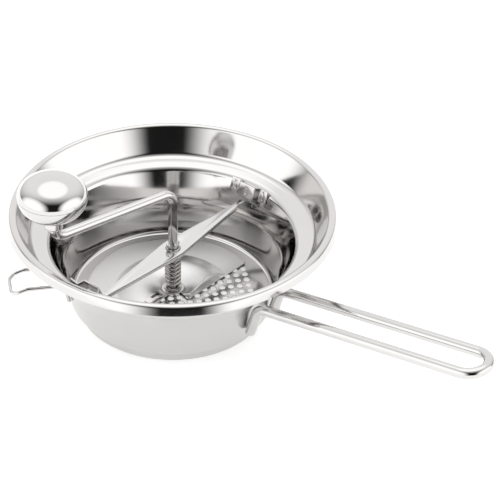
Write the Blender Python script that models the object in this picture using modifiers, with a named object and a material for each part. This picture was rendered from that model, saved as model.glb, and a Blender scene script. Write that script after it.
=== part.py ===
"""A rotary food mill in polished steel.

A stepped bowl stands on a base ring. It carries a bar handle, two pot hooks and two catches.
A perforated disc drops onto the bowl's seat, and a cranked shaft turns a blade over the disc.
A sprung pressure bar, held under the catches, keeps the blade and the disc down.

Sizes are in metres and angles in degrees. The handle points along +X. The bowl's axis is
vertical, and every piece but the knob is modelled about it.
"""

import math

import bmesh
import bpy
from mathutils import Matrix, Vector

CLEARANCE = 0.0003  # between two pieces that touch
RUNNING_CLEARANCE = 0.0004  # between a shaft and what turns or slides on it
LEG_CLEARANCE = 0.0006  # between a straight leg and the curved wall that it lies on

# Bowl: one drawn sheet. Its corners are those of the middle of the sheet.
SHEET = 0.0009
RIM_RADIUS = 0.1200
BOWL_HEIGHT = 0.0847
RIM_ROLL = 0.0036
SKIRT_DROP = 0.0062
FLARE_SPREAD = 0.0102
LEDGE_WIDTH = 0.0122
LEDGE_HEIGHT = 0.0622
LEDGE_RISE = 0.0020
WALL_SPREAD = 0.0155
WALL_BULGE = -0.0030
SEAT_WIDTH = 0.0058
SEAT_HEIGHT = 0.0085
CORNER_ROUND = 0.0040
SHOULDER_ROUND = 0.0070
RING_ROUND = 0.0012

# Handle: one round bar bent to a long loop, its feet welded to the wall.
HANDLE_ROD = 0.0040
HANDLE_GAUGE = 0.0270
HANDLE_REACH = RIM_RADIUS + 0.1464
HANDLE_FOOT = 0.0180
HANDLE_KNEE = 0.0423
HANDLE_KNEE_ROUND = 0.0100
HANDLE_SLOPE = 8.4

# Pot hooks: thin wire loops that rest on a pot's edge, with the handle as the third rest.
HOOK_WIRE = 0.0015
HOOK_GAUGE = 0.0240
HOOK_REACH = RIM_RADIUS + 0.0017
HOOK_FOOT = 0.0190
HOOK_KNEE = 0.0335
HOOK_KNEE_ROUND = 0.0050
HOOK_NOSE = 0.0110
HOOK_NOSE_DROP = 0.0040
HOOK_NOSE_ROUND = 0.0065
HOOK_AZIMUTHS = {"pot_hook_rear": 132, "pot_hook_front": -132}

# Perforated disc
DISC_THICKNESS = 0.0010
HOLE_RADIUS = 0.00225
HOLE_PITCH = 0.0067
HOLE_MARGIN = 0.0120
HOLE_SIDES = 6
MOST_HOLE_ROWS = 22
GRID_AZIMUTH = 48

# Shaft and crank: one round rod
ROD = 0.0035
ROD_BEND = 0.0090
ARM_HEIGHT = 0.0980
ARM_LENGTH = 0.0998
ARM_AZIMUTH = -107
PILOT_LENGTH = 0.0030
EAR_WIDTH = 0.0110
EAR_HEIGHT = 0.0040
EAR_THICKNESS = 0.0026

# Blade and its hub
BLADE_SHEET = 0.0010
BLADE_EDGE_GAP = 0.0080
BLADE_LIFT = 0.0006
BLADE_ARCH = 0.0055
BLADE_ARCH_RADIUS = 0.0420
BLADE_LIP = 0.03
BLADE_TRAIL = 285
BLADE_LEAD = 84
BLADE_LEAD_OFFSET = 0.0170
HUB_RADIUS = 0.0084
HUB_HEIGHT = 0.0025

# Spring
SPRING_RADIUS = 0.0063
SPRING_WIRE = 0.0010
SPRING_TURNS = 8
WASHER = 0.0008

# Pressure bar, its bush and its catches
BAR_TOP = 0.0490
BAR_SHEET = 0.0012
BAR_HALF_WIDTH = 0.0094
BAR_END_HALF_WIDTH = 0.0022
BAR_FLANGE = 0.0036
BAR_TONGUE = 0.0090
BAR_AZIMUTH = 87.7
BAR_PRESS_TRAVEL = 0.0060
BUSH_WALL = 0.0012
BUSH_FLANGE_RADIUS = 0.0070
BUSH_FLANGE = 0.0009
CATCH_SHEET = 0.0012
CATCH_HEIGHT = 0.0100
CATCH_STANDOFF = 0.0052
CATCH_HALF_WIDTH = 0.0077
CATCH_FOOT = 0.0080
CATCH_RAMP = 0.0020
CATCH_AZIMUTHS = {"catch_rear": 86, "catch_front": 266}

# Knob: a domed cap and a base pressed together, turning on the end of the rod
KNOB_RADIUS = 0.0242
KNOB_SHEET = 0.0008
KNOB_DOME = 0.0149
KNOB_SKIRT = 0.0163
KNOB_NECK_HEIGHT = 0.0087
KNOB_BUSH_WALL = 0.0014
SPINDLE_TIP = 0.0030

# How finely round shapes are divided
BOWL_STEPS = 44
KNOB_STEPS = 28
RING_STEPS = 20
KNOB_CURVE_STEPS = 7
BLADE_ROWS = 20
SPRING_STEPS = 14
BEND_STEP = 22.5
BOWL_BEND_STEP = 32
SHORTEST_FLAT = 0.0002

AXIS_X = (RIM_RADIUS - HANDLE_REACH) / 2
SEAT_TOP = SEAT_HEIGHT + SHEET / 2
DISC_BOTTOM = SEAT_TOP + CLEARANCE
DISC_TOP = DISC_BOTTOM + DISC_THICKNESS
HUB_BOTTOM = DISC_TOP + CLEARANCE
HUB_TOP = HUB_BOTTOM + HUB_HEIGHT
LOWER_WASHER = HUB_TOP + CLEARANCE
SPRING_BOTTOM = LOWER_WASHER + WASHER + CLEARANCE
BAR_BOTTOM = BAR_TOP - BAR_SHEET
BUSH_BOTTOM = BAR_BOTTOM - CLEARANCE - BUSH_FLANGE
UPPER_WASHER = BUSH_BOTTOM - CLEARANCE - WASHER
SPRING_TOP = UPPER_WASHER - CLEARANCE
BUSH_TOP = BAR_TOP + CLEARANCE
BUSH_BORE = ROD + RUNNING_CLEARANCE
BUSH_RADIUS = BUSH_BORE + BUSH_WALL
KNOB_WASHER = ARM_HEIGHT + ROD_BEND + CLEARANCE
KNOB_BOTTOM = KNOB_WASHER + WASHER + CLEARANCE
KNOB_NECK_RADIUS = ROD + RUNNING_CLEARANCE + KNOB_BUSH_WALL + CLEARANCE + KNOB_SHEET
KNOB_EQUATOR = KNOB_BOTTOM + KNOB_NECK_HEIGHT + KNOB_SKIRT


def clear_scene():
    """Empties the scene and makes the collections for parts and cutters."""
    for obj in list(bpy.data.objects):
        bpy.data.objects.remove(obj, do_unlink=True)
    collections = []
    for name in ("food_mill", "cutters"):
        collection = bpy.data.collections.new(name)
        bpy.context.scene.collection.children.link(collection)
        collections.append(collection)
    return collections


PARTS, CUTTERS = clear_scene()


def steel(name, shade, roughness):
    """A bare steel."""
    material = bpy.data.materials.new(name)
    material.use_nodes = True
    shader = material.node_tree.nodes["Principled BSDF"]
    shader.inputs["Base Color"].default_value = (*shade, 1)
    shader.inputs["Metallic"].default_value = 1
    shader.inputs["Roughness"].default_value = roughness
    return material


def axis_empty(name, location):
    """An empty on a joint's axis, which the pieces on that joint have as their parent."""
    empty = bpy.data.objects.new(name, None)
    empty.location = location
    empty.empty_display_size = 0.02
    PARTS.objects.link(empty)
    return empty


def add_part(name, data, parent, material, turn=0):
    """A part in the parts collection, turned about its parent's axis."""
    obj = bpy.data.objects.new(name, data)
    obj.parent = parent
    obj.rotation_euler.z = math.radians(turn)
    data.materials.append(material)
    PARTS.objects.link(obj)
    return obj


def add_cutter(name, mesh):
    """A mesh that a Boolean takes away or adds, and that no render shows."""
    obj = bpy.data.objects.new(name, mesh)
    obj.hide_render = True
    obj.display_type = "WIRE"
    CUTTERS.objects.link(obj)
    return obj


def boolean(target, operation, tool):
    """An exact Boolean of the target with one tool, which moves with it."""
    tool.parent = target
    modifier = target.modifiers.new(tool.name, "BOOLEAN")
    modifier.operation = operation
    modifier.solver = "EXACT"
    modifier.object = tool


def box_mesh(name, low, high):
    """A box between two corners."""
    low, high = Vector(low), Vector(high)
    size = high - low
    place = Matrix.Translation((low + high) / 2) @ Matrix.Diagonal((*size, 1))
    mesh = bpy.data.meshes.new(name)
    shape = bmesh.new()
    bmesh.ops.create_cube(shape, size=1, matrix=place)
    shape.to_mesh(mesh)
    shape.free()
    return mesh


def drum_mesh(name, radius, low, high):
    """A solid cylinder on the axis."""
    mesh = bpy.data.meshes.new(name)
    shape = bmesh.new()
    place = Matrix.Translation((0, 0, (low + high) / 2))
    bmesh.ops.create_cone(
        shape,
        cap_ends=True,
        segments=RING_STEPS,
        radius1=radius,
        radius2=radius,
        depth=high - low,
        matrix=place,
    )
    shape.to_mesh(mesh)
    shape.free()
    return mesh


def rounded(corners, radii, bend_step=BEND_STEP):
    """The line through the corners, with each inner corner rounded to its radius."""
    line = [corners[0]]
    for before, corner, after, radius in zip(corners, corners[1:], corners[2:], radii):
        into = (corner - before).normalized()
        out = (after - corner).normalized()
        turn = into.angle(out)
        side = (out - into * into.dot(out)).normalized()
        start = corner - into * radius * math.tan(turn / 2)
        steps = max(1, round(math.degrees(turn) / bend_step))
        for step in range(steps + 1):
            angle = turn * step / steps
            along = into * radius * math.sin(angle)
            line.append(start + along + side * radius * (1 - math.cos(angle)))
    line.append(corners[-1])
    return line


def offset_line(line, distance):
    """The flat line moved to its left by the distance."""
    moved = []
    for index, point in enumerate(line):
        before = line[max(index - 1, 0)]
        after = line[min(index + 1, len(line) - 1)]
        into = (point - before).normalized()
        out = (after - point).normalized()
        along = (into + out).normalized()
        normal = Vector((-along.y, along.x))
        stretch = normal.dot(Vector((-out.y, out.x))) if after is not point else 1
        moved.append(point + normal * distance / stretch)
    return moved


def sheet_section(line, thickness):
    """The closed outline of a sheet whose middle follows the line."""
    return offset_line(line, thickness / 2) + offset_line(line, -thickness / 2)[::-1]


def clockwise(outline):
    """The outline in the order that gives a turned shape outward faces."""
    area = sum(a.cross(b) for a, b in zip(outline, outline[1:] + outline[:1]))
    return outline if area < 0 else outline[::-1]


def turned(name, outline, steps, parent, material, on_axis=False):
    """A shape turned about its own origin, from an outline of radius and height."""
    if not on_axis:
        outline = clockwise(outline)
    mesh = bpy.data.meshes.new(name)
    shape = bmesh.new()
    points = [shape.verts.new((point.x, 0, point.y)) for point in outline]
    for first, second in zip(points, points[1:]):
        shape.edges.new((first, second))
    if not on_axis:
        shape.edges.new((points[-1], points[0]))
    shape.to_mesh(mesh)
    shape.free()
    obj = add_part(name, mesh, parent, material)
    screw = obj.modifiers.new("Turn", "SCREW")
    screw.axis = "Z"
    screw.steps = steps
    screw.render_steps = steps
    screw.use_merge_vertices = True
    screw.merge_threshold = 0.00001
    return obj


def ring(name, bore, radius, bottom, top, parent, material):
    """A plain ring or sleeve about its own origin."""
    corners = ((bore, bottom), (radius, bottom), (radius, top), (bore, top))
    outline = [Vector(corner) for corner in corners]
    return turned(name, outline, RING_STEPS, parent, material)


def curve_line(curve, points, closed=False):
    """A straight-sided line in a curve."""
    spline = curve.splines.new("POLY")
    spline.points.add(len(points) - 1)
    for target, point in zip(spline.points, points):
        target.co = (*point, 1)
    spline.use_cyclic_u = closed


def rod_curve(name, points, radius, sides_level=2):
    """A round rod along the points."""
    curve = bpy.data.curves.new(name, "CURVE")
    curve.dimensions = "3D"
    curve.bevel_depth = radius
    curve.bevel_resolution = sides_level
    curve.use_fill_caps = True
    curve_line(curve, points)
    return curve


def circle_points(radius, sides, centre=(0, 0)):
    """Points round a circle, at height 0."""
    points = []
    for side in range(sides):
        angle = math.tau * side / sides
        x = centre[0] + radius * math.cos(angle)
        y = centre[1] + radius * math.sin(angle)
        points.append((x, y, 0))
    return points


def shaped_grid(name, columns, rows, place):
    """A grid of faces, with each corner where place puts it for two shares from 0 to 1."""
    mesh = bpy.data.meshes.new(name)
    shape = bmesh.new()
    bmesh.ops.create_grid(shape, x_segments=columns, y_segments=rows, size=0.5)
    for vertex in shape.verts:
        vertex.co = place(vertex.co.x + 0.5, vertex.co.y + 0.5)
    bmesh.ops.recalc_face_normals(shape, faces=shape.faces)
    shape.to_mesh(mesh)
    shape.free()
    return mesh


def thicken(obj, thickness, offset):
    """Gives a sheet its thickness."""
    modifier = obj.modifiers.new("Thickness", "SOLIDIFY")
    modifier.thickness = thickness
    modifier.offset = offset
    modifier.use_even_offset = True


def bowl_line():
    """The middle of the bowl's sheet as radius and height, from the ring's foot to the skirt."""
    rim = RIM_RADIUS - SHEET / 2
    top = BOWL_HEIGHT - SHEET / 2
    flare_turn = math.atan2(top - LEDGE_HEIGHT, FLARE_SPREAD)
    flare = rim - RIM_ROLL * (1 + math.tan(flare_turn / 2)) - SHORTEST_FLAT
    ledge = flare - FLARE_SPREAD
    wall_top = ledge - LEDGE_WIDTH
    seat = wall_top - WALL_SPREAD
    base = seat - SEAT_WIDTH
    low, high = Vector((seat, SEAT_HEIGHT)), Vector((wall_top, LEDGE_HEIGHT - LEDGE_RISE))
    along = (high - low).normalized()
    middle = (low + high) / 2 + Vector((along.y, -along.x)) * WALL_BULGE
    corners = [
        Vector((base, 0)),
        Vector((base, SEAT_HEIGHT)),
        low,
        middle,
        high,
        Vector((ledge, LEDGE_HEIGHT)),
        Vector((flare, top)),
        Vector((rim, top)),
        Vector((rim, top - SKIRT_DROP)),
    ]
    bulge_round = (high - low).length
    radii = [
        RING_ROUND,
        CORNER_ROUND,
        bulge_round,
        SHOULDER_ROUND,
        SHOULDER_ROUND,
        RIM_ROLL,
        RIM_ROLL,
    ]
    return rounded(corners, radii, BOWL_BEND_STEP)


BOWL_LINE = bowl_line()


def wall_at(height):
    """Radius of the middle of the wall's sheet at a height, and the wall's lean in radians."""
    for low, high in zip(BOWL_LINE, BOWL_LINE[1:]):
        if high.y > low.y and SEAT_HEIGHT < height <= high.y:
            share = (height - low.y) / (high.y - low.y)
            return low.x + (high.x - low.x) * share, math.atan2(high.x - low.x, high.y - low.y)
    raise ValueError("that height is above the bowl's wall")


def wall_outside(height):
    """Radius of the wall's outer face at a height."""
    radius, lean = wall_at(height)
    return radius + SHEET / 2 / math.cos(lean)


def wall_inside(height):
    """Radius of the wall's inner face at a height."""
    radius, lean = wall_at(height)
    return radius - SHEET / 2 / math.cos(lean)


def disc_radius():
    """The disc's edge, which lies where the flat of the seat ends."""
    return max(point.x for point in BOWL_LINE if point.y < SEAT_HEIGHT + SHORTEST_FLAT / 2)


def make_bowl(parent, material):
    """The bowl: base ring, seat, wall, ledge, flare and rolled rim in one sheet."""
    turned("bowl", sheet_section(BOWL_LINE, SHEET), BOWL_STEPS, parent, material)


def leg_place(height, rod, half_gauge):
    """Distance from the axis, in a loop's own plane, of a leg that lies on the wall."""
    _, lean = wall_at(height)
    reach = wall_outside(height) + (rod + LEG_CLEARANCE) / math.cos(lean)
    return math.sqrt(reach**2 - half_gauge**2)


def make_handle(parent, material):
    """The handle's loop: two feet on the wall, two runs and a round end."""
    half = HANDLE_GAUGE / 2
    foot = leg_place(HANDLE_FOOT, HANDLE_ROD, half)
    knee = leg_place(HANDLE_KNEE, HANDLE_ROD, half)
    end = HANDLE_REACH - HANDLE_ROD
    end_height = HANDLE_KNEE + (end - knee) * math.tan(math.radians(HANDLE_SLOPE))
    side = [(foot, HANDLE_FOOT), (knee, HANDLE_KNEE), (end, end_height)]
    radii = [HANDLE_KNEE_ROUND, half * 0.999]
    make_loop("handle_loop", side, radii, half, HANDLE_ROD, parent, material, 0)


def make_hooks(parent, material):
    """The two pot hooks, each with its nose turned down."""
    half = HOOK_GAUGE / 2
    foot = leg_place(HOOK_FOOT, HOOK_WIRE, half)
    knee = leg_place(HOOK_KNEE, HOOK_WIRE, half)
    end = HOOK_REACH - HOOK_WIRE
    side = [
        (foot, HOOK_FOOT),
        (knee, HOOK_KNEE),
        (end - HOOK_NOSE, HOOK_KNEE),
        (end, HOOK_KNEE - HOOK_NOSE_DROP),
    ]
    radii = [HOOK_KNEE_ROUND, HOOK_NOSE_ROUND, HOOK_NOSE_ROUND]
    for name, azimuth in HOOK_AZIMUTHS.items():
        make_loop(name, side, radii, half, HOOK_WIRE, parent, material, azimuth)


def make_loop(name, side, radii, half, rod, parent, material, azimuth):
    """A rod bent to a loop that mirrors one side, given as distance out and height."""
    near = [Vector((reach, -half, height)) for reach, height in side]
    far = [Vector((reach, half, height)) for reach, height in reversed(side)]
    points = rounded(near + far, radii + radii[::-1])
    add_part(name, rod_curve(name, points, rod), parent, material, azimuth)


def make_catches(parent, material):
    """Two hat-shaped catches on the wall, under whose lower edges the bar's tongues sit."""
    bottom = BAR_TOP + CLEARANCE
    middle = bottom + CATCH_HEIGHT / 2
    _, lean = wall_at(middle)
    wall = wall_inside(middle)
    foot = wall - CLEARANCE - CATCH_SHEET / 2
    raised = wall - CATCH_STANDOFF - CATCH_SHEET / 2
    ends = [
        (foot, CATCH_HALF_WIDTH + CATCH_RAMP + CATCH_FOOT),
        (foot, CATCH_HALF_WIDTH + CATCH_RAMP + CATCH_FOOT / 2),
        (foot, CATCH_HALF_WIDTH + CATCH_RAMP),
        (raised, CATCH_HALF_WIDTH),
    ]
    plan = [(radius, -width) for radius, width in ends]
    plan += [(radius, width) for radius, width in reversed(ends)]
    line = []
    for radius, width in plan:
        angle = width / wall
        line.append(Vector((radius * math.cos(angle) - wall, radius * math.sin(angle))))
    outline = sheet_section(line, CATCH_SHEET)
    for name, azimuth in CATCH_AZIMUTHS.items():
        curve = bpy.data.curves.new(name, "CURVE")
        curve.dimensions = "2D"
        curve.fill_mode = "BOTH"
        curve.extrude = CATCH_HEIGHT / 2
        curve_line(curve, [(point.x, point.y, 0) for point in outline], closed=True)
        catch = add_part(name, curve, parent, material)
        catch.rotation_euler = (0, lean, math.radians(azimuth))
        catch.location = Matrix.Rotation(math.radians(azimuth), 3, "Z") @ Vector((wall, 0, middle))


def make_disc(parent, material):
    """The perforated disc, with a square grid of holes and a hole for the shaft's pilot.

    A disc too wide for the most rows of holes at their pitch has that many rows, further apart.
    """
    curve = bpy.data.curves.new("perforated_disc", "CURVE")
    curve.dimensions = "2D"
    curve.fill_mode = "BOTH"
    curve.extrude = DISC_THICKNESS / 2
    radius = disc_radius()
    curve_line(curve, circle_points(radius, BOWL_STEPS), closed=True)
    curve_line(curve, circle_points(BUSH_BORE, RING_STEPS), closed=True)
    limit = radius - HOLE_MARGIN
    pitch = max(HOLE_PITCH, 2 * limit / MOST_HOLE_ROWS)
    reach = math.ceil(limit / pitch)
    for column in range(-reach, reach):
        for row in range(-reach, reach):
            centre = ((column + 0.5) * pitch, (row + 0.5) * pitch)
            if BUSH_BORE + HOLE_RADIUS < math.hypot(*centre) < limit:
                curve_line(curve, circle_points(HOLE_RADIUS, HOLE_SIDES, centre), closed=True)
    disc = add_part("perforated_disc", curve, parent, material, GRID_AZIMUTH)
    disc.location.z = DISC_BOTTOM + DISC_THICKNESS / 2


def make_crank_rod(parent, material):
    """The shaft, the arm and the knob's spindle, bent from one rod with two swaged ears."""
    corners = [
        Vector((0, 0, DISC_BOTTOM - PILOT_LENGTH)),
        Vector((0, 0, ARM_HEIGHT)),
        Vector((ARM_LENGTH, 0, ARM_HEIGHT)),
        Vector((ARM_LENGTH, 0, KNOB_EQUATOR + SPINDLE_TIP)),
    ]
    curve = rod_curve("crank_rod", rounded(corners, [ROD_BEND, ROD_BEND]), ROD)
    rod = add_part("crank_rod", curve, parent, material, ARM_AZIMUTH)
    mesh = bpy.data.meshes.new_from_object(rod)
    mesh.name = "crank_rod"
    bpy.data.objects.remove(rod)
    shape = bmesh.new()
    shape.from_mesh(mesh)
    bmesh.ops.remove_doubles(shape, verts=shape.verts, dist=0.00001)
    bmesh.ops.recalc_face_normals(shape, faces=shape.faces)
    shape.to_mesh(mesh)
    shape.free()
    mesh.materials.clear()
    rod = add_part("crank_rod", mesh, parent, material, ARM_AZIMUTH)
    low = BUSH_TOP + 2 * CLEARANCE
    half = Vector((EAR_WIDTH, EAR_THICKNESS)) / 2
    ears = box_mesh("ears", (-half.x, -half.y, low), (half.x, half.y, low + EAR_HEIGHT))
    boolean(rod, "UNION", add_cutter("ears", ears))


def blade_place(radial, sweep):
    """A point in the middle of the blade's sheet, from hub to edge and from trail to lead.

    The sheet arches up round the hub and comes down to the disc in a lip along its lead.
    """
    inner = HUB_RADIUS + CLEARANCE
    outer = disc_radius() - BLADE_EDGE_GAP
    radius = inner + (outer - inner) * radial
    swing = math.degrees(math.asin(min(1, BLADE_LEAD_OFFSET / radius)))
    lead = BLADE_LEAD - swing
    body = 1 - 1 / BLADE_ROWS
    if sweep <= body:
        share = sweep / body * (1 - BLADE_LIP)
    else:
        share = 1 - BLADE_LIP * (1 - sweep) / (1 - body)
    angle = math.radians(BLADE_TRAIL + (lead - BLADE_TRAIL) * share)
    low = DISC_TOP + BLADE_LIFT + BLADE_SHEET / 2
    across = min(1, (radius - inner) / (BLADE_ARCH_RADIUS - inner))
    arch = BLADE_ARCH * math.sin(math.pi * across) * min(1, (1 - share) / BLADE_LIP)
    return Vector((radius * math.cos(angle), radius * math.sin(angle), low + arch))


def make_blade(parent, material):
    """The blade: a half-round sheet, arched round its hub."""
    mesh = shaped_grid("blade", 14, BLADE_ROWS, blade_place)
    blade = add_part("blade", mesh, parent, material)
    thicken(blade, BLADE_SHEET, 0)


def make_hub(parent, material):
    """The hub that carries the blade."""
    bore = ROD + CLEARANCE
    ring("blade_hub", bore, HUB_RADIUS, HUB_BOTTOM, HUB_TOP, parent, material)


def make_spring(parent, material):
    """The coil spring round the shaft, with a closed turn at each end."""
    coil = SPRING_RADIUS - SPRING_WIRE
    closed_pitch = 2 * SPRING_WIRE + CLEARANCE
    span = SPRING_TOP - SPRING_BOTTOM - 2 * SPRING_WIRE
    open_pitch = (span - 2 * closed_pitch) / (SPRING_TURNS - 2)
    points = []
    for step in range(SPRING_TURNS * SPRING_STEPS + 1):
        turns = step / SPRING_STEPS
        lower = min(turns, 1)
        upper = max(turns - (SPRING_TURNS - 1), 0)
        rise = (lower + upper) * closed_pitch + (turns - lower - upper) * open_pitch
        angle = math.tau * turns
        height = SPRING_BOTTOM + SPRING_WIRE + rise
        points.append((coil * math.cos(angle), coil * math.sin(angle), height))
    curve = rod_curve("spring", points, SPRING_WIRE, sides_level=1)
    add_part("spring", curve, parent, material)


def make_washers(crank_axis, press_axis, material):
    """The washers under and over the spring."""
    bore = ROD + RUNNING_CLEARANCE
    seat = SPRING_RADIUS + CLEARANCE
    ring(
        "lower_spring_washer",
        bore,
        seat,
        LOWER_WASHER,
        LOWER_WASHER + WASHER,
        crank_axis,
        material,
    )
    ring(
        "upper_spring_washer",
        bore,
        seat,
        UPPER_WASHER,
        UPPER_WASHER + WASHER,
        press_axis,
        material,
    )


def bar_tip():
    """How far the bar's tongues reach: clear of the wall when the bar is pressed down."""
    return wall_inside(BAR_BOTTOM - BAR_PRESS_TRAVEL) - 2 * CLEARANCE


def bar_place(along, across):
    """A point on the bar's folded sheet, from tip to tip and from flange edge to flange edge."""
    reach = bar_tip()
    x = reach * (2 * along - 1)
    taper = min(1, abs(x) / (reach - BAR_TONGUE))
    half = BAR_HALF_WIDTH + (BAR_END_HALF_WIDTH - BAR_HALF_WIDTH) * taper
    side = -1 if across < 0.5 else 1
    drop = BAR_FLANGE if abs(across - 0.5) > 0.4 else 0
    return Vector((x, side * half, BAR_TOP - drop))


def make_bar(parent, material):
    """The pressure bar: a tapered channel with a flat tongue at each end."""
    mesh = shaped_grid("pressure_bar", 8, 3, bar_place)
    bar = add_part("pressure_bar", mesh, parent, material, BAR_AZIMUTH)
    thicken(bar, BAR_SHEET, -1)
    below = BAR_BOTTOM - 2 * BAR_FLANGE
    hole = drum_mesh("bar_hole", BUSH_RADIUS + CLEARANCE, below, BAR_TOP + BAR_FLANGE)
    boolean(bar, "DIFFERENCE", add_cutter("bar_hole", hole))
    start, end = bar_tip() - BAR_TONGUE, bar_tip() + BAR_TONGUE
    width = 2 * BAR_HALF_WIDTH
    for side in (-1, 1):
        reach = sorted((side * start, side * end))
        name = "tongue_cut_plus" if side > 0 else "tongue_cut_minus"
        cut = box_mesh(name, (reach[0], -width, below), (reach[1], width, BAR_BOTTOM))
        boolean(bar, "DIFFERENCE", add_cutter(name, cut))


def make_bush(parent, material):
    """The flanged bush on which the bar turns and slides on the shaft."""
    corners = (
        (BUSH_BORE, BUSH_BOTTOM),
        (BUSH_FLANGE_RADIUS, BUSH_BOTTOM),
        (BUSH_FLANGE_RADIUS, BUSH_BOTTOM + BUSH_FLANGE),
        (BUSH_RADIUS, BUSH_BOTTOM + BUSH_FLANGE),
        (BUSH_RADIUS, BUSH_TOP),
        (BUSH_BORE, BUSH_TOP),
    )
    outline = [Vector(corner) for corner in corners]
    turned("bar_bush", outline, RING_STEPS, parent, material)


def make_knob(parent, dome_steel, base_steel, inner_steel):
    """The knob's cap, base and bush, the washer under it and the clip that keeps it on."""
    half = KNOB_SHEET / 2
    widest = KNOB_RADIUS - half
    cap = []
    for step in range(KNOB_CURVE_STEPS + 1):
        angle = math.pi / 2 * step / KNOB_CURVE_STEPS
        rise = (KNOB_DOME - half) * math.cos(angle)
        cap.append(Vector((widest * math.sin(angle), KNOB_EQUATOR + rise)))
    outline = sheet_section(cap, KNOB_SHEET)
    for point in (outline[0], outline[-1]):
        point.x = 0
    turned("knob_cap", outline, KNOB_STEPS, parent, dome_steel, on_axis=True)

    neck = KNOB_NECK_RADIUS - half
    shoulder = KNOB_BOTTOM + KNOB_NECK_HEIGHT
    height = KNOB_EQUATOR - CLEARANCE - shoulder
    base = [Vector((neck, KNOB_BOTTOM))]
    for step in range(KNOB_CURVE_STEPS + 1):
        angle = math.pi / 2 * step / KNOB_CURVE_STEPS
        reach = (widest - neck) * math.sin(angle)
        base.append(Vector((neck + reach, shoulder + height * (1 - math.cos(angle)))))
    turned("knob_base", sheet_section(base, KNOB_SHEET), KNOB_STEPS, parent, base_steel)

    bore = ROD + RUNNING_CLEARANCE
    sleeve = bore + KNOB_BUSH_WALL
    top = KNOB_EQUATOR - SPINDLE_TIP
    ring("knob_bush", bore, sleeve, KNOB_BOTTOM, top, parent, inner_steel)


def make_knob_fittings(crank_axis, material):
    """The washer and the clip on the rod's spindle, below and above the knob's bush."""
    spindle = axis_empty("spindle", (0, 0, 0))
    spindle.parent = crank_axis
    angle = math.radians(ARM_AZIMUTH)
    spindle.location = (ARM_LENGTH * math.cos(angle), ARM_LENGTH * math.sin(angle), 0)
    bore = ROD + CLEARANCE
    top = KNOB_WASHER + WASHER
    ring("knob_washer", bore, KNOB_NECK_RADIUS, KNOB_WASHER, top, spindle, material)
    clip = KNOB_EQUATOR - SPINDLE_TIP + CLEARANCE
    ring("knob_clip", bore, KNOB_NECK_RADIUS, clip, clip + WASHER, spindle, material)


def build():
    """Makes every piece."""
    mirror = steel("mirror_steel", (0.83, 0.83, 0.82), 0.06)
    satin = steel("satin_steel", (0.78, 0.78, 0.77), 0.30)
    spring_steel = steel("spring_steel", (0.66, 0.65, 0.63), 0.22)
    mill = axis_empty("mill", (AXIS_X, 0, 0))
    crank_axis = axis_empty("crank_axis", (AXIS_X, 0, 0))
    press_axis = axis_empty("press_axis", (AXIS_X, 0, 0))
    angle = math.radians(ARM_AZIMUTH)
    knob_place = (AXIS_X + ARM_LENGTH * math.cos(angle), ARM_LENGTH * math.sin(angle), 0)
    knob_axis = axis_empty("knob_axis", knob_place)

    make_bowl(mill, mirror)
    make_handle(mill, mirror)
    make_hooks(mill, mirror)
    make_catches(mill, satin)
    make_disc(mill, mirror)
    make_crank_rod(crank_axis, mirror)
    make_blade(crank_axis, satin)
    make_hub(crank_axis, satin)
    make_spring(crank_axis, spring_steel)
    make_washers(crank_axis, press_axis, satin)
    make_bar(press_axis, mirror)
    make_bush(press_axis, satin)
    make_knob(knob_axis, mirror, mirror, satin)
    make_knob_fittings(crank_axis, satin)


build()
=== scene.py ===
"""The looks of a rotary food mill in polished steel: smooth turned and bent pieces in place of the
frame's faceted ones, their steels, and a plain pale studio.

Sizes are in metres and angles in degrees. The handle points along +X, and the bowl's axis is
vertical. Places come from the frame's own pieces.
"""

import math

import bpy
from mathutils import Matrix, Vector


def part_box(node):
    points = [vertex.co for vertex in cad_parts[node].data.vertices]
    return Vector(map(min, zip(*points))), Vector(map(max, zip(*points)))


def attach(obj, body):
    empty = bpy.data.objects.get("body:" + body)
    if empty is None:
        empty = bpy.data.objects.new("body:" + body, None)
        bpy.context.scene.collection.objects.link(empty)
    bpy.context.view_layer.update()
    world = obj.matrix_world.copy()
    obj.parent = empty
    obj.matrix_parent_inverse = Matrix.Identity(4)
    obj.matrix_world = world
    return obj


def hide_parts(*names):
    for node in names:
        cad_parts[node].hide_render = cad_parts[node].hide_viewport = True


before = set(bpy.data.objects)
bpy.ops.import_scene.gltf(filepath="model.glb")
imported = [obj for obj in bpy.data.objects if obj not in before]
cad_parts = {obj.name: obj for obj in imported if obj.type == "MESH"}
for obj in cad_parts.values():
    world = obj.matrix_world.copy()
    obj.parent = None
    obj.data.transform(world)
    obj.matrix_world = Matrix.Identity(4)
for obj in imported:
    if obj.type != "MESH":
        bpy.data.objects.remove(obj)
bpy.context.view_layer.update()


def box_of(node):
    """The lowest and highest corner of a node of the frame."""
    low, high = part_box(node)
    return Vector(low), Vector(high)


BOWL_LOW, BOWL_HIGH = box_of("bowl")
AXIS = (BOWL_LOW + BOWL_HIGH) / 2
AXIS.z = 0
RIM_RADIUS = (BOWL_HIGH.y - BOWL_LOW.y) / 2
BOWL_HEIGHT = BOWL_HIGH.z

# Bowl sheet, as the middle of its thickness
SHEET = 0.0009
RIM_ROLL = 0.0036
RIM_EDGE_ROUND = 0.0028
SKIRT_SLANT = 0.0022
SKIRT_DROP = 0.0062
FLARE_SPREAD = 0.0102
LEDGE_WIDTH = 0.0122
LEDGE_HEIGHT = 0.0622
LEDGE_RISE = 0.0020
WALL_SPREAD = 0.0155
WALL_BULGE = -0.0030
SEAT_WIDTH = 0.0058
SEAT_HEIGHT = 0.0085
CORNER_ROUND = 0.0040
SHOULDER_ROUND = 0.0070
RING_ROUND = 0.0012

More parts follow.
